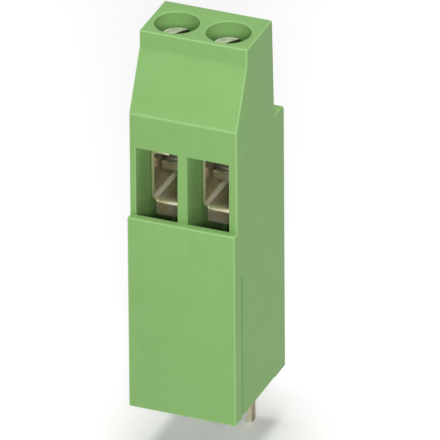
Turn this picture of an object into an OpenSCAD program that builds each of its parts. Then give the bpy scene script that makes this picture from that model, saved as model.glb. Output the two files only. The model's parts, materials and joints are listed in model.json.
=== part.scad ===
// Two-pole screw terminal for a printed circuit board, tall type with a rising
// cage clamp. Millimetres, +Z up. The origin is on the board, midway between
// the two solder pins; the wire windows face -Y and the pins stand at Y = 0.

/* [Poles] */
// Distance from one pole to the next, which is the hole spacing on the board
pitch = 5.08; // [5.0:0.01:5.6]
// Width of a clamping chamber and of its wire window
chamber_w = 4.1; // [3.9:0.05:4.4]
// Wall outside the left chamber
wall_left = 0.62; // [0.5:0.01:1.2]
// Wall outside the right chamber
wall_right = 0.82; // [0.6:0.01:1.4]

/* [Housing outline] */
// Height of the top face above the board
body_h = 37.75; // [36.5:0.05:42]
// Depth of the foot from the lower front face to the rear face
base_d = 12.32; // [12.1:0.01:14]
// Height of the lower front face, where the window ledge lies
ledge_h = 19.92; // [17:0.01:20.5]
// How far the window frame stands back from the lower front face
ledge_d = 0.71; // [0.4:0.01:0.9]
// Height at which the sloped front starts
slope_foot_h = 30.44; // [29:0.01:33]
// Height of the upright lip above the sloped front
lip_h = 1.7; // [1:0.05:3]
// How far the lip stands back from the lower front face
lip_setback = 3.36; // [2:0.01:3.6]
// Height of the rear step
step_h = 27.57; // [26.5:0.01:29]
// How far the upper back stands ahead of the rear face, just above the step
step_d = 2.37; // [1.8:0.01:2.4]
// How much further forward the upper back leans at the top
back_lean = 0.4; // [0:0.01:0.5]
// Radius of the step's outer edge
step_edge_r = 0.5; // [0.2:0.05:1]
// Radius of the other long edges
edge_r = 0.2; // [0.1:0.01:0.3]

/* [Housing inside] */
// Thickness of the wall behind the lower front face
front_wall = 0.8; // [0.75:0.01:1.2]
// Height of a wire window above the ledge
window_h = 7.02; // [6:0.01:8]
// How far the middle of the underside is raised off the board
standoff = 0.2; // [0.1:0.01:0.5]
// Depth of the front foot
front_foot_d = 1.6; // [1:0.05:3]
// Depth of the rear foot
rear_foot_d = 2.4; // [2:0.05:3]

/* [Side groove] */
// Distance from the lower front face to the middle of the groove
groove_setback = 1.74; // [1.2:0.01:3]
// Width of the groove
groove_w = 0.4; // [0.2:0.01:0.8]
// Depth of the groove
groove_d = 0.3; // [0.1:0.01:0.4]
// Height of the groove
groove_h = 14.87; // [10:0.01:18]

/* [Screw] */
// Distance from the lower front face to the screw axes
screw_setback = 5.97; // [5.9:0.01:6.3]
// Radius of the screwdriver well in the top face
well_r = 2.1; // [1.9:0.01:2.2]
// Chamfer around the mouth of the well
well_chamfer = 0.12; // [0.05:0.01:0.2]
// How far the screw head lies below the top face
head_drop = 1.24; // [0.8:0.01:2]
// Radius of the screw head
head_r = 1.62; // [1.5:0.01:1.7]
// Height of the screw head
head_h = 1.6; // [1.2:0.05:2]
// Radius of the head's rounded rim
head_rim_r = 0.38; // [0.1:0.01:0.4]
// Width of the driver slot
slot_w = 0.6; // [0.4:0.01:0.8]
// Depth of the driver slot
slot_d = 0.8; // [0.5:0.01:1]
// Direction of the driver slot, from the width towards the back
slot_angle = 57; // [0:1:180]
// Radius of the screw thread
thread_r = 1.25; // [1.1:0.01:1.3]
// Height of the chamfer at the screw tip
tip_chamfer = 0.25; // [0.1:0.01:0.4]

/* [Cage] */
// Distance from the lower front face to the front of the cages
cage_setback = 4.2; // [3.8:0.01:4.3]
// Depth of a cage along the wire
cage_d = 4.9; // [4.5:0.01:5]
// Thickness of the cage sheet
cage_sheet = 0.25; // [0.2:0.01:0.3]
// Height of the open cage's floor above the ledge
cage_floor_rise = 0.07; // [-0.2:0.01:0.4]
// Open height inside a cage
cage_open_h = 4.75; // [4.5:0.01:5.2]
// Thickness of the cage's folded, threaded top
cage_head_t = 1.75; // [1.2:0.01:2]
// Inner radius of the cage's bends
cage_bend_r = 0.3; // [0.1:0.01:0.5]
// Height of the lip that hangs from the front of the floor
cage_lip_h = 1.35; // [0.8:0.01:1.8]
// How far the lip's ends stay inside the cage's sides
cage_lip_inset = 0.2; // [0.1:0.01:0.6]
// Width of the notch that the strip's ends leave in the top, ahead of the screw
notch_w = 0.85; // [0.4:0.01:1]
// Depth of that notch, from the front of the cage into the screw hole
notch_d = 0.6; // [0.5:0.01:1]
// Distance of that notch's left side from the screw axis
notch_left = 0.18; // [0:0.01:0.4]
// How far the second cage is already screwed up
second_lift = 0.3; // [0:0.01:1]

/* [Contact] */
// Distance from the lower front face to the row of solder pins
pin_setback = 10.85; // [10.7:0.01:11.2]
// Thickness of the contact strip
contact_t = 0.9; // [0.8:0.01:1]
// Open height for the wire between cage floor and contact
wire_gap = 2.5; // [2.2:0.01:3]
// Distance from the lower front face to the contact's front edge
tongue_setback = 5.4; // [4.6:0.01:5.5]
// Width of the contact tongue inside the cage
tongue_w = 3.05; // [2.4:0.01:3.1]
// Width of the leg and its solder pin
leg_w = 0.55; // [0.4:0.01:0.8]
// Inner radius of the bend from tongue to leg
contact_bend_r = 0.3; // [0.1:0.01:0.4]
// How far a solder pin reaches below the board side of the housing
pin_l = 5.8; // [3:0.05:6]
// Chamfer at the end of a solder pin
pin_chamfer = 0.15; // [0.05:0.01:0.2]

/* [Clearances] */
// Gap between a cage and its chamber
cage_gap = 0.12; // [0.05:0.01:0.2]
// Gap between a contact and its slot in the housing
contact_gap = 0.08; // [0.04:0.01:0.15]
// Radial gap between the screw thread and the cage's hole
thread_gap = 0.05; // [0.02:0.01:0.1]
// Radial gap between the screw thread and the housing
neck_gap = 0.2; // [0.1:0.01:0.25]
// Gap under the screw head and under the screw tip
seat_gap = 0.05; // [0.02:0.01:0.1]
// Space left above a cage that is screwed right up
headroom = 0.4; // [0.2:0.05:0.8]
// Space left between the contact and a cage that is screwed right up
closed_gap = 0.1; // [0.05:0.01:0.2]

/* [Hidden] */
$fn = 64;
arc_steps = 6;
slack = 1;
left_pole = -pitch / 2;
right_pole = pitch / 2;
body_left = left_pole - chamber_w / 2 - wall_left;
body_right = right_pole + chamber_w / 2 + wall_right;
body_w = body_right - body_left;
lip_foot_h = body_h - lip_h;
window_top = ledge_h + window_h;
chamber_front = cage_setback - cage_gap;
chamber_back = cage_setback + cage_d + cage_gap;
cage_w = chamber_w - 2 * cage_gap;
cage_floor_h = ledge_h + cage_floor_rise;
tongue_h = cage_floor_h + wire_gap;
cage_travel = wire_gap - closed_gap;
chamber_top = cage_floor_h + cage_open_h + cage_head_t + cage_travel + headroom;
tongue_top = tongue_h + contact_t;
head_top = body_h - head_drop;
head_under = head_top - head_h;
shelf_h = head_under - seat_gap;
tip_h = tongue_top + seat_gap;
leg_front = pin_setback - contact_t / 2;
leg_back = pin_setback + contact_t / 2;
bend_setback = leg_front - contact_bend_r;

housing_green = [0.55, 0.71, 0.46];
nickel = [0.74, 0.72, 0.68];
zinc = [0.66, 0.64, 0.58];
tin = [0.76, 0.73, 0.62];

// Corner of an outline turned into an arc of radius r; a, p and b are points
// that follow each other round the outline.
function unit(v) = v / norm(v);
function turn(a, p, b) = acos(max(-1, min(1, unit(a - p) * unit(b - p))));
function arc_corner(a, p, b, r) =
    let (half = turn(a, p, b) / 2,
         centre = p + unit(unit(a - p) + unit(b - p)) * r / sin(half),
         from = p + unit(a - p) * r / tan(half) - centre,
         to = p + unit(b - p) * r / tan(half) - centre)
    [for (i = [0:arc_steps])
        let (t = i / arc_steps)
        centre + unit(from * (1 - t) + to * t) * r];
function rounded(points, radii) =
    let (n = len(points))
    [for (i = [0:n - 1], q = radii[i] == 0 ? [points[i]]
        : arc_corner(points[(i + n - 1) % n], points[i], points[(i + 1) % n], radii[i])) q];

// Places its children so that Y runs back from the lower front face.
module from_front() {
    translate([0, -pin_setback, 0]) children();
}

// Turns an outline in depth and height into a slab centred on the width.
module across(width) {
    rotate([90, 0, 90]) linear_extrude(width, center = true) children();
}

// Block from one corner to the other.
module block(low, high) {
    translate(low) cube(high - low);
}

module rounded_box_2d(low, high, r) {
    translate([low.x + r, low.y]) square([high.x - low.x - 2 * r, high.y - low.y]);
    translate([low.x, low.y + r]) square([high.x - low.x, high.y - low.y - 2 * r]);
    for (x = [low.x + r, high.x - r], y = [low.y + r, high.y - r])
        translate([x, y]) circle(r);
}

// Outline of the housing seen from the side.
module housing_outline() {
    back_foot = base_d - step_d;
    polygon(rounded(
        [[0, 0], [base_d, 0], [base_d, step_h], [back_foot, step_h],
         [back_foot - back_lean, body_h], [lip_setback, body_h], [lip_setback, lip_foot_h],
         [ledge_d, slope_foot_h], [ledge_d, ledge_h], [0, ledge_h]],
        [edge_r, edge_r, step_edge_r, 0, edge_r, edge_r, 0, 0, 0, edge_r]));
}

// Everything that is open in one pole: window, chamber, leg slot and well.
module pole_openings() {
    half = chamber_w / 2;
    block([-half, -slack, ledge_h], [half, chamber_back, window_top]);
    block([-half, front_wall, -slack], [half, chamber_back, ledge_h + slack]);
    block([-half, chamber_front, ledge_h], [half, chamber_back, chamber_top]);
    leg_slot();
    translate([0, screw_setback, 0]) screw_well();
}

// Way for the contact, open downwards, from the chamber back to the pin row.
module leg_slot() {
    tongue_half = tongue_w / 2 + contact_gap;
    leg_half = leg_w / 2 + contact_gap;
    slot_top = tongue_top + contact_gap;
    block([-tongue_half, chamber_back - slack, -slack], [tongue_half, bend_setback + contact_gap, slot_top]);
    block([-leg_half, chamber_back, -slack], [leg_half, leg_back + contact_gap, slot_top]);
}

// Stepped hole for one screw, from the top face down to the chamber.
module screw_well() {
    translate([0, 0, shelf_h]) cylinder(body_h - shelf_h + slack, r = well_r);
    translate([0, 0, chamber_top - slack])
        cylinder(shelf_h - chamber_top + 2 * slack, r = thread_r + neck_gap);
    translate([0, 0, body_h - well_chamfer])
        cylinder(well_chamfer + slack, well_r, well_r + well_chamfer + slack);
}

module housing() {
    color(housing_green)
    from_front()
    difference() {
        translate([(body_left + body_right) / 2, 0, 0]) across(body_w) housing_outline();
        for (x = [left_pole, right_pole]) translate([x, 0, 0]) pole_openings();
        block([body_left - slack, front_foot_d, -slack],
            [body_right + slack, base_d - rear_foot_d, standoff]);
        block([body_right - groove_d, groove_setback - groove_w / 2, -slack],
            [body_right + slack, groove_setback + groove_w / 2, groove_h]);
    }
}

// Slotted screw on its axis, with its tip just above the contact.
module screw() {
    color(zinc)
    from_front()
    translate([0, screw_setback, 0])
    difference() {
        rotate_extrude() screw_outline();
        translate([0, 0, head_top]) rotate([0, 0, slot_angle])
            cube([2 * head_r + slack, slot_w, 2 * slot_d], center = true);
    }
}

module screw_outline() {
    polygon([[0, tip_h], [thread_r - tip_chamfer, tip_h], [thread_r, tip_h + tip_chamfer],
        [thread_r, head_under], [0, head_under]]);
    square_h = head_h - head_rim_r;
    translate([0, head_under]) square([head_r, square_h]);
    translate([0, head_under]) square([head_r - head_rim_r, head_h]);
    translate([head_r - head_rim_r, head_top - head_rim_r]) intersection() {
        circle(head_rim_r);
        square(head_rim_r);
    }
}

// Section of a cage across the wire: folded sheet with a thick threaded top.
module cage_section() {
    half = cage_w / 2;
    outer_r = cage_bend_r + cage_sheet;
    difference() {
        rounded_box_2d([-half, -cage_sheet], [half, cage_open_h + cage_head_t], outer_r);
        rounded_box_2d([-half + cage_sheet, 0], [half - cage_sheet, cage_open_h], cage_bend_r);
    }
}

// Lip that is bent down from the front edge of the cage floor.
module cage_lip() {
    bend_r = cage_sheet + cage_bend_r;
    width = cage_w - 2 * (bend_r + cage_lip_inset);
    across(width) {
        translate([0, -cage_lip_h - cage_sheet]) square([cage_sheet, cage_lip_h + cage_sheet - bend_r]);
        translate([bend_r, -bend_r]) intersection() {
            difference() {
                circle(bend_r);
                circle(cage_bend_r);
            }
            translate([-bend_r, 0]) square(bend_r);
        }
    }
}

// One cage, its floor raised by lift above its fully open place.
module cage(lift) {
    bend_r = cage_sheet + cage_bend_r;
    lip_w = cage_w - 2 * (bend_r + cage_lip_inset);
    color(nickel)
    from_front()
    translate([0, cage_setback, cage_floor_h + lift]) {
        difference() {
            translate([0, cage_d, 0]) rotate([90, 0, 0]) linear_extrude(cage_d) cage_section();
            translate([0, screw_setback - cage_setback, cage_open_h - slack])
                cylinder(cage_head_t + 2 * slack, r = thread_r + thread_gap);
            block([-notch_left, -slack, cage_open_h - slack],
                [notch_w - notch_left, notch_d, cage_open_h + cage_head_t + slack]);
            block([-lip_w / 2, -slack, -cage_sheet - slack], [lip_w / 2, bend_r, slack]);
        }
        cage_lip();
    }
}

// Side view of the contact: tongue, bend, leg and solder pin.
module contact_outline() {
    bend_h = tongue_h - contact_bend_r;
    outer_r = contact_bend_r + contact_t;
    translate([tongue_setback, tongue_h]) square([bend_setback - tongue_setback, contact_t]);
    translate([leg_front, -pin_l]) square([contact_t, bend_h + pin_l]);
    translate([bend_setback, bend_h]) difference() {
        intersection() {
            circle(outer_r);
            square(outer_r);
        }
        circle(contact_bend_r);
    }
}

// End of a solder pin: all four edges are cut back.
module pin_end_cuts() {
    for (side = [-1, 1]) {
        translate([side * leg_w / 2, pin_setback, -pin_l]) rotate([0, 45, 0])
            cube([pin_chamfer * sqrt(2), 2 * contact_t, pin_chamfer * sqrt(2)], center = true);
        translate([0, pin_setback + side * contact_t / 2, -pin_l]) rotate([45, 0, 0])
            cube([2 * leg_w, pin_chamfer * sqrt(2), pin_chamfer * sqrt(2)], center = true);
    }
}

module contact() {
    color(tin)
    from_front()
    difference() {
        union() {
            across(leg_w) contact_outline();
            block([-tongue_w / 2, tongue_setback, tongue_h], [tongue_w / 2, bend_setback, tongue_top]);
        }
        pin_end_cuts();
    }
}

housing();
translate([left_pole, 0, 0]) screw();  // screw_1
translate([right_pole, 0, 0]) screw();  // screw_2
translate([left_pole, 0, 0]) cage(0);  // cage_1
translate([right_pole, 0, 0]) cage(second_lift);  // cage_2
translate([left_pole, 0, 0]) contact();  // contact_1
translate([right_pole, 0, 0]) contact();  // contact_2
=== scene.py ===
import json
from math import cos, pi, radians, sin

import bmesh
import bpy
from mathutils import Matrix, Vector


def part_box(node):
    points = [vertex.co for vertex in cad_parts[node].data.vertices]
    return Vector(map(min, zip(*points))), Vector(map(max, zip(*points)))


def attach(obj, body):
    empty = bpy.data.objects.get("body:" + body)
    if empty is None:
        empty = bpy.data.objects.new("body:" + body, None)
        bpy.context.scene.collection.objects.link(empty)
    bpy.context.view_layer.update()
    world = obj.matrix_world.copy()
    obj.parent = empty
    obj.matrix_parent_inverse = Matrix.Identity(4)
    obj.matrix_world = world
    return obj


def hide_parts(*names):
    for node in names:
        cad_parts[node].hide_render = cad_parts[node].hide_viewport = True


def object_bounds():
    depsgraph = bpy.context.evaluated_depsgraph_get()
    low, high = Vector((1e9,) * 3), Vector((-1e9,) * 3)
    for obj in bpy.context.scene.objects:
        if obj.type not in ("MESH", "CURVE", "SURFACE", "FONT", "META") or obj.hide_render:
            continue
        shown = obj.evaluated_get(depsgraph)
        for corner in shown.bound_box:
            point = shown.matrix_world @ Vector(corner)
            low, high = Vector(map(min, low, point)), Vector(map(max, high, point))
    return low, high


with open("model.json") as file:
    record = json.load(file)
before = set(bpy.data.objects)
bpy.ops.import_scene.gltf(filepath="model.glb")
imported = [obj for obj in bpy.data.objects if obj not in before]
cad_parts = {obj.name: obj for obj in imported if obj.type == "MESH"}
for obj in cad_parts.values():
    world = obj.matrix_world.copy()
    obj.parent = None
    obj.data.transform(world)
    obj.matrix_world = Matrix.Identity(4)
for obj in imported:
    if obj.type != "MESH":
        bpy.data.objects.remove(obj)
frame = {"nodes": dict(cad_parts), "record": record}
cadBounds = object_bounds()
mm = 0.001
beyond = 1 * mm  # how far a cutter reaches past what it cuts
weldRoom = 0.0005 * mm  # corners closer than this are one
planeRoom = 0.0001 * mm  # a vertex this close to a cutting plane lies in it
aligned = 0.9  # least share of its normal along an axis, for a face that looks that way
smoothAngle = 35  # edges sharper than this stay crisp
print("frame loaded:", ", ".join(sorted(frame["nodes"])))


class Wire:
    # one socket of a node tree, so that shader maths reads as arithmetic
    def __init__(self, tree, socket):
        self.tree = tree
        self.socket = socket

    def maths(self, operation, other, swapped=False):
        values = [other, self] if swapped else [self, other]
        return self.tree.add("ShaderNodeMath", {"operation": operation}, dict(enumerate(values)))

    def __add__(self, other):
        return self.maths("ADD", other)

    def __radd__(self, other):
        return self.maths("ADD", other, swapped=True)

    def __sub__(self, other):
        return self.maths("SUBTRACT", other)

    def __rsub__(self, other):
        return self.maths("SUBTRACT", other, swapped=True)

    def __mul__(self, other):
        return self.maths("MULTIPLY", other)

    def __rmul__(self, other):
        return self.maths("MULTIPLY", other, swapped=True)

    def atMost(self, limit):
        return self.maths("MINIMUM", limit)

    def step(self, low, high):
        # 0 below low, 1 above high, smooth between
        settings = {"interpolation_type": "SMOOTHSTEP"}
        return self.tree.add("ShaderNodeMapRange", settings, {0: self, 1: low, 2: high})


class Paint:
    # a material under construction
    def __init__(self, name):
        self.material = bpy.data.materials.new(name)
        self.material.use_nodes = True
        self.nodes = self.material.node_tree.nodes
        self.links = self.material.node_tree.links
        self.shader = self.nodes["Principled BSDF"]

    def add(self, kind, settings=None, values=None, out=0):
        node = self.nodes.new(kind)
        for name, value in (settings or {}).items():
            setattr(node, name, value)
        for socket, value in (values or {}).items():
            self.plug(node.inputs[socket], value)
        return Wire(self, node.outputs[out])

    def plug(self, socket, value):
        if isinstance(value, Wire):
            self.links.new(value.socket, socket)
        elif hasattr(socket.default_value, "__len__") and len(value) < len(socket.default_value):
            socket.default_value = (*value, 1)
        else:
            socket.default_value = value

    def place(self):
        # object coordinates, in metres
        return self.add("ShaderNodeTexCoord", out="Object")

    def mark(self, name):
        return self.add("ShaderNodeAttribute", {"attribute_name": name}, out="Fac")

    def stretched(self, where, scale, turn=(0, 0, 0)):
        values = {"Vector": where, "Scale": scale, "Rotation": turn}
        return self.add("ShaderNodeMapping", {}, values)

    def noise(self, where, size, detail, rough=0.5):
        values = {"Vector": where, "Scale": 1 / size, "Detail": detail, "Roughness": rough}
        return self.add("ShaderNodeTexNoise", {}, values)

    def blend(self, amount, first, second):
        settings = {"data_type": "RGBA", "blend_type": "MIX", "clamp_factor": True}
        return self.add("ShaderNodeMix", settings, {0: amount, 6: first, 7: second}, out=2)

    def bump(self, height, distance, strength, below=None):
        values = {"Height": height, "Distance": distance, "Strength": strength}
        if below:
            values["Normal"] = below
        return self.add("ShaderNodeBump", {}, values)

    def finish(self, **sockets):
        for name, value in sockets.items():
            self.plug(self.shader.inputs[name.replace("_", " ")], value)
        return self.material


def linear(red, green, blue):
    # a screen colour, 0 to 255, as the shader wants it
    def one(value):
        value /= 255
        return value / 12.92 if value <= 0.04045 else ((value + 0.055) / 1.055) ** 2.4

    return tuple(one(value) for value in (red, green, blue))


polyamide = {
    "green": linear(128, 170, 102),
    "deepGreen": linear(124, 166, 98),
    "paleGreen": linear(132, 173, 106),
    "edgeGreen": linear(145, 187, 120),  # painted highlight on rounded edges and corners
    "greenShare": 0.4,
    "cloudSize": 3.0 * mm,
    "cloudShare": 0.45,
    "cloudDulling": 0.06,
    "cloudRelief": 0.006 * mm,
    "flowSize": 0.9 * mm,
    "flowStretch": (1, 1, 0.06),  # drawn out upwards
    "flowShare": 0.35,
    "grainSize": 0.08 * mm,
    "grainShare": 0.2,
    "grainDulling": 0.05,
    "grainRelief": 0.002 * mm,
    "roughness": 0.42,
    "edgePolish": 0.08,
    "refraction": 1.53,
    "specular": 0.1,
}


def makePolyamide():
    p = polyamide
    paint = Paint("greenPolyamide")
    where = paint.place()
    clouds = paint.noise(where, p["cloudSize"], detail=3.0, rough=0.55)
    flow = paint.noise(paint.stretched(where, p["flowStretch"]), p["flowSize"], detail=3.0)
    grain = paint.noise(where, p["grainSize"], detail=2.0, rough=0.6)
    shade = clouds * p["cloudShare"] + flow * p["flowShare"] + grain * p["grainShare"]
    colour = paint.blend(shade.step(0.3, 0.7), p["deepGreen"], p["paleGreen"])
    colour = paint.blend(p["greenShare"], colour, p["green"])
    # the edge mark paints a highlight onto the rounded edges; the lower roughness there is real
    # polish
    edge = paint.mark("edge")
    colour = paint.blend(edge * (0.75 + 0.25 * grain), colour, p["edgeGreen"])
    roughness = (p["roughness"] + p["cloudDulling"] * clouds + p["grainDulling"] * grain
                 - p["edgePolish"] * edge)
    waves = paint.bump(clouds, p["cloudRelief"], strength=0.4)
    texture = paint.bump(grain, p["grainRelief"], strength=0.6, below=waves)
    return paint.finish(Base_Color=colour, Roughness=roughness, Normal=texture,
                        IOR=p["refraction"], Specular_IOR_Level=p["specular"])


nickel = {
    "bright": linear(236, 228, 206),
    "warm": linear(226, 207, 162),
    "worn": linear(250, 246, 232),  # painted highlight on bends and edges
    "wornShare": 0.8,
    "metallic": 0.76,
    "wornLoss": 0.4,  # where the highlight is painted the plate is less of a mirror, so it stays light in dark surroundings
    "rolledSize": 0.07 * mm,
    "rolledStretch": (1, 0.06, 1),
    "rolledDulling": 0.1,
    "rolledRelief": 0.001 * mm,
    "spotSize": 0.9 * mm,
    "spotDulling": 0.08,
    "roughness": 0.14,
}


def makeNickel():
    n = nickel
    paint = Paint("nickelPlate")
    where = paint.place()
    rolled = paint.noise(paint.stretched(where, n["rolledStretch"]), n["rolledSize"], detail=3.0)
    spots = paint.noise(where, n["spotSize"], detail=3.0, rough=0.6)
    edge = paint.mark("edge")
    colour = paint.blend(spots.step(0.35, 0.7), n["bright"], n["warm"])
    # painted highlight on the marked bends and edges, made less metallic so that it stays light
    colour = paint.blend(edge * n["wornShare"], colour, n["worn"])
    metallic = n["metallic"] - n["wornLoss"] * edge
    roughness = n["roughness"] + n["rolledDulling"] * rolled + n["spotDulling"] * spots
    texture = paint.bump(rolled, n["rolledRelief"], strength=0.4)
    return paint.finish(Base_Color=colour, Metallic=metallic, Roughness=roughness, Normal=texture)


zinc = {
    "bright": linear(240, 238, 226),
    "dull": linear(214, 208, 188),
    # painted highlight on the head's rim and the slot's edges
    "worn": linear(250, 248, 238),
    "wornShare": 0.8,
    "thread": linear(104, 98, 82),  # painted shade on the thread and in the slot
    "threadShare": 0.8,
    "metallic": 0.8,
    "wornLoss": 0.4,
    "spotSize": 0.35 * mm,
    "spotDulling": 0.1,
    "scratchSize": 0.05 * mm,
    "scratchStretch": (1, 0.1, 1),
    "scratchTurn": (0, 0, 0.6),
    "scratchDulling": 0.08,
    "scratchRelief": 0.0008 * mm,
    "roughness": 0.26,
}


def makeZinc():
    z = zinc
    paint = Paint("zincPlate")
    where = paint.place()
    spots = paint.noise(where, z["spotSize"], detail=4.0, rough=0.6)
    drawn = paint.stretched(where, z["scratchStretch"], z["scratchTurn"])
    scratches = paint.noise(drawn, z["scratchSize"], detail=2.0)
    edge = paint.mark("edge")
    colour = paint.blend(spots.step(0.35, 0.7), z["bright"], z["dull"])
    # painted highlight on the marked edges, made less metallic so that it stays light
    colour = paint.blend(edge * z["wornShare"], colour, z["worn"])
    # painted shade on the shank and in the slot
    colour = paint.blend(paint.mark("thread") * z["threadShare"], colour, z["thread"])
    metallic = z["metallic"] - z["wornLoss"] * edge
    roughness = z["roughness"] + z["spotDulling"] * spots + z["scratchDulling"] * scratches
    texture = paint.bump(scratches, z["scratchRelief"], strength=0.4)
    return paint.finish(Base_Color=colour, Metallic=metallic, Roughness=roughness, Normal=texture)


tin = {
    "bright": linear(238, 231, 210),
    "dull": linear(222, 211, 180),
    "bare": linear(140, 124, 96),  # stamped edges, where the strip shows through
    "spotSize": 0.4 * mm,
    "spotDulling": 0.06,
    "drawnSize": 0.06 * mm,
    "drawnStretch": (1, 1, 0.08),
    "drawnDulling": 0.12,
    "drawnRelief": 0.001 * mm,
    "roughness": 0.26,
    "bareDulling": 0.1,
}


def makeTin():
    t = tin
    paint = Paint("tinPlate")
    where = paint.place()
    spots = paint.noise(where, t["spotSize"], detail=3.0, rough=0.6)
    drawn = paint.noise(paint.stretched(where, t["drawnStretch"]), t["drawnSize"], detail=2.0)
    bare = paint.mark("bare")
    colour = paint.blend(spots.step(0.35, 0.75), t["bright"], t["dull"])
    colour = paint.blend(bare * (0.7 + 0.3 * drawn), colour, t["bare"])
    roughness = (t["roughness"] + t["drawnDulling"] * drawn + t["spotDulling"] * spots
                 + t["bareDulling"] * bare)
    texture = paint.bump(drawn, t["drawnRelief"], strength=0.5)
    return paint.finish(Base_Color=colour, Metallic=1.0, Roughness=roughness, Normal=texture)


def clearSelection():
    if bpy.context.mode != "OBJECT":
        bpy.ops.object.mode_set(mode="OBJECT")
    bpy.ops.object.select_all(action="DESELECT")


def useOnly(piece):
    clearSelection()
    piece.select_set(True)
    bpy.context.view_layer.objects.active = piece


def nameNew(name):
    piece = bpy.context.object
    piece.name = name
    piece.data.name = name
    bpy.ops.object.transform_apply(location=True, rotation=True, scale=True)
    return piece


def addBox(name, low, high):
    # a block from one corner to the other
    clearSelection()
    low, high = Vector(low), Vector(high)
    bpy.ops.mesh.primitive_cube_add(size=1, location=(low + high) / 2, scale=high - low)
    return nameNew(name)


def addRod(name, centre, radius, low, high, sides=96):
    clearSelection()
    place = (*centre, (low + high) / 2)
    bpy.ops.mesh.primitive_cylinder_add(vertices=sides, radius=radius, depth=high - low,
                                        location=place)
    return nameNew(name)


def pick(piece, kind, test):
    # in edit mode: selects the faces, edges or vertices that pass the test
    bpy.ops.mesh.select_mode(type={"faces": "FACE", "edges": "EDGE", "verts": "VERT"}[kind])
    bpy.ops.mesh.select_all(action="DESELECT")
    mesh = bmesh.from_edit_mesh(piece.data)
    for item in getattr(mesh, kind):
        item.select_set(bool(test(item)))
    mesh.select_flush_mode()
    bmesh.update_edit_mesh(piece.data)
    return sum(item.select for item in getattr(mesh, kind))


def edit(piece):
    useOnly(piece)
    bpy.ops.object.mode_set(mode="EDIT")


def leaveEdit():
    bpy.ops.object.mode_set(mode="OBJECT")


def near(a, b, room=0.004 * mm):
    return abs(a - b) < room


def middle(edge):
    return (edge.verts[0].co + edge.verts[1].co) / 2


def along(edge, axis, atLeast=0.99):
    # axis is 0, 1 or 2, for x, y or z
    way = (edge.verts[1].co - edge.verts[0].co).normalized()
    return abs(way[axis]) > atLeast


def isSharp(edge, degrees=25):
    return len(edge.link_faces) == 2 and edge.calc_face_angle(0) > radians(degrees)


def edgeLayer(mesh):
    return mesh.faces.layers.float.get("edge") or mesh.faces.layers.float.new("edge")


def roundEdges(piece, test, radius, steps=3, marked=True):
    # the new faces come out in the second material slot, and where marked is true they get the
    # edge mark, which the materials paint as a highlight
    while len(piece.data.materials) < 2:
        piece.data.materials.append(None)
    edit(piece)
    edgeLayer(bmesh.from_edit_mesh(piece.data))
    if pick(piece, "edges", test):
        bpy.ops.mesh.bevel(offset=radius, segments=steps, profile=0.5, affect="EDGES",
                           clamp_overlap=True, material=1)
        mesh = bmesh.from_edit_mesh(piece.data)
        layer = edgeLayer(mesh)
        for face in mesh.faces:
            if face.material_index == 1:
                face[layer] = float(marked)
                face.material_index = 0
        bmesh.update_edit_mesh(piece.data)
    leaveEdit()


def markFaces(piece, name, test):
    # a mark of 1 on the faces that pass the test, for the material to read
    edit(piece)
    mesh = bmesh.from_edit_mesh(piece.data)
    layer = mesh.faces.layers.float.new(name)
    for face in mesh.faces:
        face[layer] = float(test(face))
    bmesh.update_edit_mesh(piece.data)
    leaveEdit()


def combine(piece, other, operation):
    useOnly(piece)
    work = piece.modifiers.new("combine", "BOOLEAN")
    work.operation = operation
    work.solver = "EXACT"
    work.object = other
    bpy.ops.object.modifier_apply(modifier="combine")
    bpy.data.objects.remove(other)


def cutAway(piece, cutter):
    combine(piece, cutter, "DIFFERENCE")


def joinInto(piece, other):
    combine(piece, other, "UNION")


def turnOutwards(piece):
    # welds a mesh and turns its faces outwards
    edit(piece)
    bpy.ops.mesh.select_all(action="SELECT")
    bpy.ops.mesh.remove_doubles(threshold=weldRoom)
    bpy.ops.mesh.normals_make_consistent(inside=False)
    leaveEdit()


def tidyMesh(piece):
    edit(piece)
    bpy.ops.mesh.select_all(action="SELECT")
    bpy.ops.mesh.remove_doubles(threshold=weldRoom)
    bpy.ops.mesh.dissolve_degenerate(threshold=weldRoom)
    bpy.ops.mesh.normals_make_consistent(inside=False)
    leaveEdit()
    useOnly(piece)
    bpy.ops.object.shade_smooth_by_angle(angle=radians(smoothAngle))


def copyTo(piece, name, move):
    # a copy with its own mesh, which moves while the object stays at the origin
    copy = bpy.data.objects.new(name, piece.data.copy())
    copy.data.name = name
    bpy.context.collection.objects.link(copy)
    edit(copy)
    bpy.ops.mesh.select_all(action="SELECT")
    bpy.ops.transform.translate(value=move)
    leaveEdit()
    return copy


def dress(piece, material, body, node):
    piece.data.materials.clear()
    piece.data.materials.append(material)
    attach(piece, body)
    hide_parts(node)


housingLow, housingHigh = (Vector(corner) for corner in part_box("housing"))
screwBoxes = [[Vector(corner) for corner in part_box("screw_%d" % pole)] for pole in (1, 2)]
cageBoxes = [[Vector(corner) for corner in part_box("cage_%d" % pole)] for pole in (1, 2)]
contactBoxes = [[Vector(corner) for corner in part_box("contact_%d" % pole)] for pole in (1, 2)]
poleX = [(low.x + high.x) / 2 for low, high in screwBoxes]
screwY = (screwBoxes[0][0].y + screwBoxes[0][1].y) / 2
frontY = housingLow.y


def liftTravel(name):
    # how far a cage can be screwed up from its place at rest
    joints = frame["record"]["behaviour"]["joints"]
    return next(joint["range_m"][1] for joint in joints if joint["name"] == name)


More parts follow.
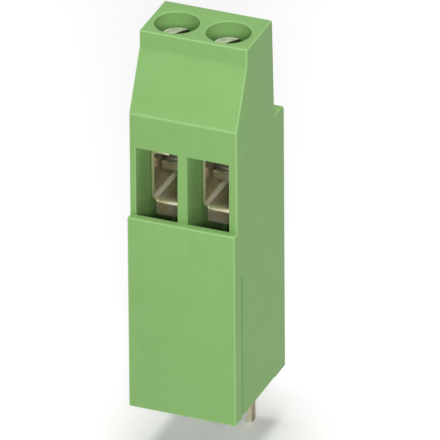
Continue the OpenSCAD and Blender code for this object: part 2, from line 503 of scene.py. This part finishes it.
housing = {
    "ledgeHeight": 19.92 * mm,
    "ledgeDepth": 0.71 * mm,
    "slopeFoot": 30.44 * mm,
    "lipHeight": 1.7 * mm,
    "lipSetback": 3.36 * mm,
    "stepHeight": 27.57 * mm,
    "stepDepth": 2.37 * mm,
    "backLean": 0.4 * mm,
    "stepRadius": 0.5 * mm,
    "edgeRadius": 0.2 * mm,
    "footRadius": 0.12 * mm,
    "windowHeight": 7.02 * mm,
    "windowRounding": 0.07 * mm,  # stays clear of the seam with the chamber behind it
    "sillStep": 0.005 * mm,  # keeps the sill out of the ledge's own plane
    "chamberWidth": 4.1 * mm,
    "headroom": 0.4 * mm,
    "frontWall": 0.8 * mm,
    "cageGap": 0.12 * mm,
    "standoff": 0.2 * mm,
    "frontFoot": 1.6 * mm,
    "rearFoot": 2.4 * mm,
    "grooveSetback": 1.74 * mm,
    "grooveWidth": 0.4 * mm,
    "grooveDepth": 0.3 * mm,
    "grooveHeight": 14.87 * mm,
    "grooveRounding": 0.08 * mm,
    "wellRadius": 2.1 * mm,
    "wellRounding": 0.1 * mm,
    "shelfThickness": 5.57 * mm,
    "neckRadius": 1.45 * mm,
    "slotGap": 0.08 * mm,
}


def raiseTop(piece, height, frontBack, rearForward, behind, ahead):
    # extrudes the top face between two depths up to a height, then moves its front edge back and
    # its rear edge forward
    def isTop(face):
        return face.normal.z > aligned and behind < face.calc_center_median().y < ahead

    edit(piece)
    mesh = bmesh.from_edit_mesh(piece.data)
    now = max(face.calc_center_median().z for face in mesh.faces if isTop(face))
    pick(piece, "faces", lambda face: isTop(face) and near(face.calc_center_median().z, now))
    bpy.ops.mesh.extrude_region_move(TRANSFORM_OT_translate={"value": (0, 0, height - now)})
    mesh = bmesh.from_edit_mesh(piece.data)
    depths = [vert.co.y for vert in mesh.verts if vert.select]
    for depth, move in ((min(depths), frontBack), (max(depths), -rearForward)):
        pick(piece, "verts", lambda vert: near(vert.co.z, height) and near(vert.co.y, depth))
        bpy.ops.transform.translate(value=(0, move, 0))
    leaveEdit()


def splitAcross(piece, y):
    # adds a loop of edges at one depth
    edit(piece)
    bpy.ops.mesh.select_all(action="SELECT")
    bpy.ops.mesh.bisect(plane_co=(0, y, 0), plane_no=(0, 1, 0), threshold=planeRoom)
    leaveEdit()


def makeHousing(material):
    h = housing
    faceY = frontY + h["ledgeDepth"]
    backFoot = housingHigh.y - h["stepDepth"]
    lipFoot = housingHigh.z - h["lipHeight"]
    lean = h["backLean"] / (housingHigh.z - h["stepHeight"])  # forward for each metre up
    body = addBox("housingMoulding", housingLow, (housingHigh.x, housingHigh.y, h["ledgeHeight"]))
    splitAcross(body, faceY)
    raiseTop(body, h["stepHeight"], 0, 0, faceY, housingHigh.y)
    splitAcross(body, backFoot)
    raiseTop(body, h["slopeFoot"], 0, lean * (h["slopeFoot"] - h["stepHeight"]), faceY, backFoot)
    raiseTop(body, lipFoot, h["lipSetback"] - h["ledgeDepth"], lean * (lipFoot - h["slopeFoot"]),
             faceY, backFoot)
    raiseTop(body, housingHigh.z, 0, lean * h["lipHeight"], faceY, backFoot)
    stepCorner = (housingHigh.y, h["stepHeight"])
    lipCorner = (frontY + h["lipSetback"], lipFoot)
    inner = ((faceY, h["ledgeHeight"]), (backFoot, h["stepHeight"]))

    def isAt(edge, corner):
        spot = middle(edge)
        return near(spot.y, corner[0]) and near(spot.z, corner[1])

    def isOuter(edge):
        return (isSharp(edge, degrees=15) and middle(edge).z > h["stepRadius"]
                and not any(isAt(edge, corner) for corner in (stepCorner, *inner)))

    def isFoot(edge):
        return isSharp(edge) and near(middle(edge).z, 0)

    roundEdges(body, lambda edge: isAt(edge, stepCorner), h["stepRadius"], steps=6, marked=False)
    roundEdges(body, lambda edge: isAt(edge, lipCorner), h["edgeRadius"], steps=4, marked=False)
    roundEdges(body, isOuter, h["edgeRadius"], steps=4)
    roundEdges(body, isFoot, h["footRadius"], steps=2)
    cutFeet(body)
    cutGroove(body)
    for x in poleX:
        cutPole(body, x)
    tidyMesh(body)
    dress(body, material, "root", "housing")
    print("housing modelled:", len(body.data.polygons), "faces")


def cutFeet(body):
    h = housing
    low = (housingLow.x - beyond, frontY + h["frontFoot"], -beyond)
    high = (housingHigh.x + beyond, housingHigh.y - h["rearFoot"], h["standoff"])
    cutAway(body, addBox("feetCutter", low, high))


def cutGroove(body):
    h = housing
    grooveY = frontY + h["grooveSetback"]
    half = h["grooveWidth"] / 2
    low = (housingHigh.x - h["grooveDepth"], grooveY - half, -beyond)
    high = (housingHigh.x + beyond, grooveY + half, h["grooveHeight"])
    cutter = addBox("grooveCutter", low, high)
    roundEdges(cutter, lambda edge: along(edge, 2) and middle(edge).x < housingHigh.x,
               h["grooveRounding"], marked=False)
    cutAway(body, cutter)


def cutPole(body, x):
    h = housing
    half = h["chamberWidth"] / 2
    cageLow, cageHigh = cageBoxes[0]
    chamberFront = cageLow.y - h["cageGap"]
    chamberBack = cageHigh.y + h["cageGap"]
    chamberTop = cageHigh.z + liftTravel("cage_1_lift") + h["headroom"]
    wellFloor = chamberTop + h["shelfThickness"]
    windowTop = h["ledgeHeight"] + h["windowHeight"]
    hollows = {  # front, foot and top of each
        "window": (frontY - beyond, h["ledgeHeight"] + h["sillStep"], windowTop),
        "underside": (frontY + h["frontWall"], -beyond, h["ledgeHeight"] + beyond),
        "chamber": (chamberFront, h["ledgeHeight"] + beyond / 2, chamberTop),
    }
    for name, (front, foot, top) in hollows.items():
        low, high = (x - half, front, foot), (x + half, chamberBack, top)
        cutAway(body, addBox(name + "Cutter", low, high))
    cutLegSlot(body, x, chamberBack)
    axis = Vector((x, screwY))
    wellTop = housingHigh.z + beyond
    cutAway(body, addRod("wellCutter", axis, h["wellRadius"], wellFloor, wellTop))
    cutAway(body, addRod("neckCutter", axis, h["neckRadius"], chamberTop - beyond,
                         wellFloor + beyond))

    def isWellRim(edge):
        spot = middle(edge)
        inWell = (spot.xy - axis).length < h["wellRadius"] + h["wellRounding"] / 2
        return isSharp(edge) and near(spot.z, housingHigh.z) and inWell

    roundEdges(body, isWellRim, h["wellRounding"])
    roundEdges(body, lambda edge: isWindowEdge(edge, x, windowTop), h["windowRounding"], steps=2)


def cutLegSlot(body, x, chamberBack):
    gap = housing["slotGap"]
    high = contactBoxes[0][1]
    tongueHalf = contact["tongueWidth"] / 2 + gap
    legHalf = contact["legWidth"] / 2 + gap
    bendY = high.y - contact["thickness"] - contact["bendRadius"]
    top = high.z + gap
    cutAway(body, addBox("tongueSlot", (x - tongueHalf, chamberBack - beyond, -beyond),
                         (x + tongueHalf, bendY + gap, top)))
    cutAway(body, addBox("legSlot", (x - legHalf, chamberBack, -beyond),
                         (x + legHalf, high.y + gap, top)))


def isWindowEdge(edge, x, windowTop):
    # the sides and the top of a window, not its sill
    h = housing
    spot = middle(edge)
    room = 2 * h["sillStep"]
    onFace = near(spot.y, frontY + h["ledgeDepth"], room)
    inHeight = h["ledgeHeight"] + 2 * room < spot.z < windowTop + room
    inWidth = abs(spot.x - x) < h["chamberWidth"] / 2 + room
    return isSharp(edge) and onFace and inHeight and inWidth


contact = {
    "thickness": 0.9 * mm,
    "tongueWidth": 3.05 * mm,
    "legWidth": 0.55 * mm,
    "bendRadius": 0.3 * mm,
    "pinChamfer": 0.15 * mm,
    "noseRadius": 0.2 * mm,
    "edgeRadius": 0.06 * mm,
}


def bendDown(piece, isEnd, centre, axis):
    # spins the end face of a strip through a right angle; the new end then faces down
    edit(piece)
    pick(piece, "faces", isEnd)
    bpy.ops.mesh.spin(steps=8, angle=pi / 2, center=centre, axis=axis)
    leaveEdit()
    turnOutwards(piece)


def drawDown(piece, height, drops):
    # extrudes the strip's end face at a height downwards, once for each drop, and stays in edit
    # mode with the new end selected
    edit(piece)
    pick(piece, "faces", lambda face: abs(face.normal.z) > aligned
         and near(face.calc_center_median().z, height))
    for drop in drops:
        bpy.ops.mesh.extrude_region_move(TRANSFORM_OT_translate={"value": (0, 0, -drop)})


def makeContacts(material):
    # modelled at the first pole, then copied
    c = contact
    low, high = contactBoxes[0]
    x = poleX[0]
    bendY = high.y - c["thickness"] - c["bendRadius"]
    underside = high.z - c["thickness"]
    bendFoot = underside - c["bendRadius"]
    halfLeg = c["legWidth"] / 2
    strip = addBox("contactStrip", (x - halfLeg, low.y + c["noseRadius"], underside),
                   (x + halfLeg, bendY, high.z))
    bendDown(strip, lambda face: face.normal.y > aligned, (x, bendY, bendFoot), (1, 0, 0))
    drawDown(strip, bendFoot, (bendFoot - low.z - c["pinChamfer"], c["pinChamfer"]))
    shrink = [1 - 2 * c["pinChamfer"] / width for width in (c["legWidth"], c["thickness"])]
    pinY = high.y - c["thickness"] / 2
    bpy.ops.transform.resize(value=(*shrink, 1), center_override=(x, pinY, low.z))
    leaveEdit()
    halfTongue = c["tongueWidth"] / 2
    tongue = addBox("tongue", (x - halfTongue, low.y, underside), (x + halfTongue, bendY, high.z))
    roundEdges(tongue, lambda edge: along(edge, 2) and near(middle(edge).y, low.y),
               c["noseRadius"], steps=4, marked=False)
    joinInto(strip, tongue)
    tidyMesh(strip)
    roundEdges(strip, lambda edge: isSharp(edge, degrees=40), c["edgeRadius"], steps=2)
    tidyMesh(strip)

    def isStamped(face):
        # the sides of the strip and the nose of its tongue
        atNose = face.normal.y < -0.5 and face.calc_center_median().z > underside
        return abs(face.normal.x) > 0.7 or atNose

    markFaces(strip, "bare", isStamped)
    for pole, (corner, _) in enumerate(contactBoxes):
        piece = copyTo(strip, "contactStrip%d" % (pole + 1), corner - low)
        dress(piece, material, "root", "contact_%d" % (pole + 1))
    print("contacts modelled:", len(strip.data.polygons), "faces each")
    bpy.data.objects.remove(strip)


cage = {
    "sheet": 0.25 * mm,
    "openHeight": 4.75 * mm,
    "topThickness": 1.75 * mm,
    "bendRadius": 0.3 * mm,  # inside the bend
    "lipHeight": 1.35 * mm,
    "lipInset": 0.2 * mm,
    "lipBlank": 0.1 * mm,
    "notchWidth": 0.85 * mm,
    "notchDepth": 0.6 * mm,
    "notchLeft": 0.18 * mm,
    "holeRadius": 1.3 * mm,
    "edgeRadius": 0.05 * mm,
}


def makeCages(material):
    # modelled at the first pole, then copied
    c = cage
    low, high = cageBoxes[0]
    x = poleX[0]
    bend = c["bendRadius"]
    headFoot = high.z - c["topThickness"]
    floor = headFoot - c["openHeight"]
    sleeve = addBox("cageSleeve", (low.x, low.y, floor - c["sheet"]), high)
    roundEdges(sleeve, lambda edge: along(edge, 1), bend + c["sheet"], steps=8, marked=False)
    hollow = addBox("cageHollow", (low.x + c["sheet"], low.y - beyond, floor),
                    (high.x - c["sheet"], high.y + beyond, headFoot))
    roundEdges(hollow, lambda edge: along(edge, 1), bend, steps=8)
    cutAway(sleeve, hollow)
    cutAway(sleeve, addRod("cageHole", (x, screwY), c["holeRadius"], headFoot - beyond,
                           high.z + beyond, sides=64))
    notchX = x - c["notchLeft"]
    cutAway(sleeve, addBox("cageNotch", (notchX, low.y - beyond, headFoot - beyond),
                           (notchX + c["notchWidth"], low.y + c["notchDepth"], high.z + beyond)))
    addLip(sleeve, low, high, floor)
    tidyMesh(sleeve)
    roundEdges(sleeve, lambda edge: isSharp(edge, degrees=45), c["edgeRadius"], steps=2)
    tidyMesh(sleeve)
    for pole, (corner, _) in enumerate(cageBoxes):
        piece = copyTo(sleeve, "cageSleeve%d" % (pole + 1), corner - low)
        dress(piece, material, "cage_%d" % (pole + 1), "cage_%d" % (pole + 1))
    print("cages modelled:", len(sleeve.data.polygons), "faces each")
    bpy.data.objects.remove(sleeve)


def addLip(sleeve, low, high, floor):
    # bent down from the front edge of the floor
    c = cage
    outer = c["sheet"] + c["bendRadius"]
    inset = c["sheet"] + c["lipInset"]
    left, right = low.x + inset, high.x - inset
    bendY = low.y + outer
    cutAway(sleeve, addBox("lipRoom", (left, low.y - beyond, floor - beyond),
                           (right, bendY, floor + beyond)))
    lip = addBox("lip", (left, bendY, floor - c["sheet"]), (right, bendY + c["lipBlank"], floor))
    bendDown(lip, lambda face: face.normal.y < -aligned, (0, bendY, floor - outer), (-1, 0, 0))
    drawDown(lip, floor - outer, (c["lipHeight"] + c["sheet"] - outer,))
    leaveEdit()
    turnOutwards(lip)
    joinInto(sleeve, lip)


screw = {
    "headHeight": 1.6 * mm,
    "rimRadius": 0.38 * mm,
    "underRounding": 0.08 * mm,
    "slotWidth": 0.6 * mm,
    "slotDepth": 0.8 * mm,
    "slotAngle": 57,
    "slotRounding": 0.05 * mm,
    "threadRadius": 1.25 * mm,
    "threadDepth": 0.22 * mm,
    "threadPitch": 0.45 * mm,
    "threadStart": 1.51,  # turns below the tip; a whole number would put corners in the cut
    "spareTurns": 4,
    "stepsPerTurn": 48,
    "plainNeck": 0.5 * mm,
    "neckInset": 0.02 * mm,
    "neckOverlap": (0.1 * mm, 0.2 * mm),  # into the thread and into the head
    "tipChamfer": 0.25 * mm,
}


def makeThread(low, high):
    # one tooth of the thread as an upright line, wound up the shank
    s = screw
    pitch, crest = s["threadPitch"], s["threadRadius"]
    root = crest - s["threadDepth"]
    # each corner's share of the pitch, and its radius
    tooth = ((0, root), (0.06, root), (0.44, crest), (0.56, crest), (0.94, root), (1, root))
    clearSelection()
    bpy.ops.mesh.primitive_grid_add(x_subdivisions=1, y_subdivisions=len(tooth) - 1, size=pitch,
                                    rotation=(pi / 2, 0, 0), location=(crest, 0, low))
    thread = nameNew("thread")
    edit(thread)
    pick(thread, "verts", lambda vert: vert.co.x > crest)
    bpy.ops.mesh.delete(type="VERT")
    leaveEdit()
    line = sorted(thread.data.vertices, key=lambda vert: vert.co.z)
    for vert, (share, radius) in zip(line, tooth):
        vert.co = (radius, 0, low + pitch * (share - s["threadStart"]))
    useOnly(thread)
    wind = thread.modifiers.new("wind", "SCREW")
    wind.axis = "Z"
    wind.screw_offset = pitch
    wind.iterations = int((high - low) / pitch) + s["spareTurns"]
    wind.steps = wind.render_steps = s["stepsPerTurn"]
    wind.use_merge_vertices = True
    wind.merge_threshold = 2 * weldRoom
    bpy.ops.object.modifier_apply(modifier="wind")
    edit(thread)
    bpy.ops.mesh.select_all(action="SELECT")
    bpy.ops.mesh.remove_doubles(threshold=2 * weldRoom)
    for height, upward in ((low, -1), (high, 1)):
        bpy.ops.mesh.select_all(action="SELECT")
        bpy.ops.mesh.bisect(plane_co=(0, 0, height), plane_no=(0, 0, upward), use_fill=True,
                            clear_outer=True, threshold=planeRoom)
    leaveEdit()
    turnOutwards(thread)
    return thread


def chamferTip(thread, low, high):
    s = screw
    radius = s["threadRadius"] * 1.01
    envelope = addRod("envelope", (0, 0), radius, low, high + beyond, sides=64)
    roundEdges(envelope, lambda edge: near(middle(edge).z, low), s["tipChamfer"], steps=1,
               marked=False)
    combine(thread, envelope, "INTERSECT")


def makeScrew(material):
    # modelled on the origin, then copied to each pole
    s = screw
    low, high = screwBoxes[0]
    headRadius = (high.x - low.x) / 2
    headFoot = high.z - s["headHeight"]
    blank = addRod("screw", (0, 0), headRadius, headFoot, high.z)
    for height, radius, steps in ((high.z, s["rimRadius"], 5), (headFoot, s["underRounding"], 2)):
        roundEdges(blank, lambda edge: isSharp(edge) and near(middle(edge).z, height),
                   radius, steps)
    cutter = addBox("slotCutter", (-headRadius * 2, -s["slotWidth"] / 2, high.z - s["slotDepth"]),
                    (headRadius * 2, s["slotWidth"] / 2, high.z + beyond))
    edit(cutter)
    bpy.ops.mesh.select_all(action="SELECT")
    bpy.ops.transform.rotate(value=-radians(s["slotAngle"]), orient_axis="Z",
                             center_override=(0, 0, 0))
    leaveEdit()
    cutAway(blank, cutter)
    tidyMesh(blank)
    slotFoot = high.z - s["slotDepth"]
    roundEdges(blank, lambda edge: isSharp(edge, degrees=50)
               and middle(edge).z > slotFoot - weldRoom, s["slotRounding"], steps=2)
    neckRadius = s["threadRadius"] - s["threadDepth"] - s["neckInset"]
    neckFoot = headFoot - s["plainNeck"]
    intoThread, intoHead = s["neckOverlap"]
    joinInto(blank, addRod("neck", (0, 0), neckRadius, neckFoot - intoThread, headFoot + intoHead,
                           sides=64))
    thread = makeThread(low.z, neckFoot)
    chamferTip(thread, low.z, headFoot)
    joinInto(blank, thread)
    tidyMesh(blank)
    turn = radians(s["slotAngle"])
    across = Vector((-sin(turn), cos(turn), 0))
    room = 0.01 * mm

    # the faces the zinc darkens as painted shade: the shank below the head and the inside of the
    # slot
    def isDark(face):
        spot = face.calc_center_median()
        inSlot = (abs(spot.dot(across)) < s["slotWidth"] / 2 + room
                  and slotFoot - room < spot.z < high.z - 2 * s["slotRounding"])
        return spot.z < headFoot or inSlot

    markFaces(blank, "thread", isDark)
    for pole, (x, (corner, _)) in enumerate(zip(poleX, screwBoxes)):
        piece = copyTo(blank, "clampScrew%d" % (pole + 1), (x, screwY, corner.z - low.z))
        dress(piece, material, "screw_%d" % (pole + 1), "screw_%d" % (pole + 1))
    print("screws modelled:", len(blank.data.polygons), "faces each")
    bpy.data.objects.remove(blank)


studio = {
    "azimuth": 22.25,
    "elevation": 29.12,
    "roll": -0.42,
    "distance": 1431.5 * mm,
    "lens": 1272.8,
    "clip": (0.05, 10),
    "right": 1.265 * mm,  # how far the view is moved from the part's middle
    "up": 1.355 * mm,
    "floorSize": 4,
    "floorGap": 0.02 * mm,
    "floorShade": 0.95,
    "floorGlow": 0.07,  # seen by the camera and in reflections, so that the backdrop is white
    "ambient": 0.2,
    "lampDistance": 1.0,
    "key": (23, 24, 0.25, 5.4),  # azimuth, elevation, width and power
    "overhead": (0, 86, 0.45, 6.9),
}


def towards(azimuth, elevation):
    # from the object, with azimuth counted from the front towards the right
    turn, tilt = radians(azimuth), radians(elevation)
    return Vector((sin(turn) * cos(tilt), -cos(turn) * cos(tilt), sin(tilt)))


def makeCamera():
    low, high = (Vector(corner) for corner in cadBounds)
    turn, roll = radians(studio["azimuth"]), radians(studio["roll"])
    back = towards(studio["azimuth"], studio["elevation"])
    level = Vector((cos(turn), sin(turn), 0))
    rise = back.cross(level)
    right = level * cos(roll) + rise * sin(roll)
    up = rise * cos(roll) - level * sin(roll)
    camera = bpy.data.objects.new("camera", bpy.data.cameras.new("camera"))
    bpy.context.collection.objects.link(camera)
    camera.rotation_mode = "QUATERNION"
    centre = (low + high) / 2 + right * studio["right"] + up * studio["up"]
    camera.location = centre + back * studio["distance"]
    camera.rotation_quaternion = Matrix((right, up, back)).transposed().to_quaternion()
    camera.data.lens = studio["lens"]
    camera.data.clip_start, camera.data.clip_end = studio["clip"]
    bpy.context.scene.camera = camera


def seen(tree):
    # 1 for what the camera sees straight on, mirrored or through something clear
    rays = tree.nodes.new("ShaderNodeLightPath")
    names = ("Is Camera Ray", "Is Glossy Ray", "Is Transmission Ray")
    camera, glossy, through = (Wire(tree, rays.outputs[name]) for name in names)
    return (camera + glossy + through).atMost(1.0)


def makeStage():
    clearSelection()
    height = cadBounds[0][2] - studio["floorGap"]
    bpy.ops.mesh.primitive_plane_add(size=studio["floorSize"], location=(0, 0, height))
    floor = nameNew("floor")
    paint = Paint("whiteFloor")
    glow = studio["floorGlow"]
    shade = (studio["floorShade"],) * 3
    light = paint.blend(seen(paint), (0, 0, 0), (glow, glow, glow))
    matt = paint.finish(Base_Color=shade, Roughness=1.0, Specular_IOR_Level=0.0,
                        Emission_Color=light, Emission_Strength=1.0)
    floor.data.materials.append(matt)


def addLamp(name):
    azimuth, elevation, size, power = studio[name]
    way = towards(azimuth, elevation)
    lamp = bpy.data.objects.new(name, bpy.data.lights.new(name, "AREA"))
    bpy.context.collection.objects.link(lamp)
    lamp.location = way * studio["lampDistance"]
    lamp.rotation_mode = "QUATERNION"
    lamp.rotation_quaternion = way.to_track_quat("Z", "Y")
    lamp.data.shape = "DISK"
    lamp.data.size = size
    lamp.data.energy = power


class WorldPaint(Paint):
    # the same for the world's nodes
    def __init__(self, world):
        world.use_nodes = True
        self.nodes = world.node_tree.nodes
        self.links = world.node_tree.links


def makeLight():
    world = bpy.data.worlds.new("studio")
    bpy.context.scene.world = world
    paint = WorldPaint(world)
    white = paint.nodes["Background"]
    soft = paint.nodes.new("ShaderNodeBackground")
    for background, strength in ((white, 1.0), (soft, studio["ambient"])):
        background.inputs["Color"].default_value = (1, 1, 1, 1)
        background.inputs["Strength"].default_value = strength
    mixed = paint.nodes.new("ShaderNodeMixShader")
    paint.plug(mixed.inputs[0], seen(paint))
    paint.links.new(soft.outputs[0], mixed.inputs[1])
    paint.links.new(white.outputs[0], mixed.inputs[2])
    paint.links.new(mixed.outputs[0], paint.nodes["World Output"].inputs["Surface"])
    addLamp("key")
    addLamp("overhead")


makeCamera()
makeStage()
makeLight()
print("camera, stage and lamps placed")

makeHousing(makePolyamide())
makeContacts(makeTin())
makeCages(makeNickel())
makeScrew(makeZinc())

bpy.context.scene.view_settings.view_transform = "Standard"
